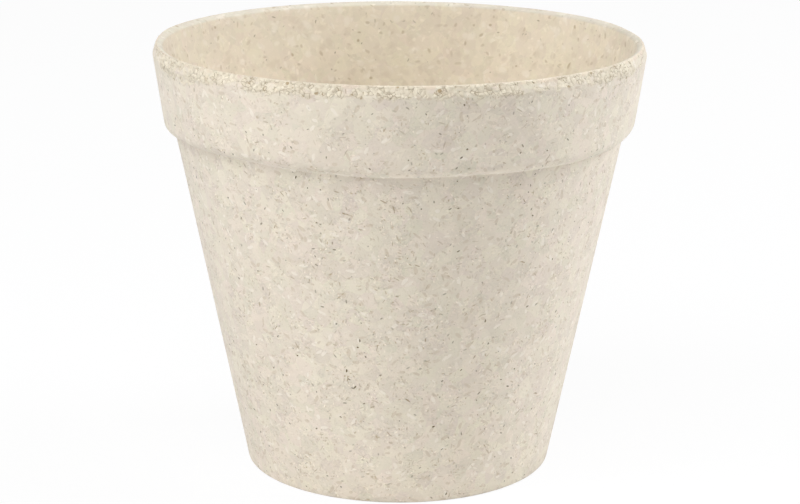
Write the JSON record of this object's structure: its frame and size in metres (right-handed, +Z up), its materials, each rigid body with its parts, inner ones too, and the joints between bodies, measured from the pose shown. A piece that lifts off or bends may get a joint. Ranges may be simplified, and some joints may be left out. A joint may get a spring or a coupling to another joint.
{
  "type": "flower pot",
  "caption": "Tapered round flower pot of pressed wood particles, with a collar round its open top, a drain hole and a foot ring.",
  "frame": {"origin": "centre of the foot ring, on the surface that the pot stands on", "axes": "+Z up along the pot's own axis, towards the open rim"},
  "size_m": [0.11, 0.11, 0.097],
  "materials": {
    "pressed_wood": "pale pressed wood particles with dark specks, matt, crumbly at the lip's outer corner"
  },
  "bodies": {
    "root": {"pot": "pressed_wood"}
  },
  "joints": []
}
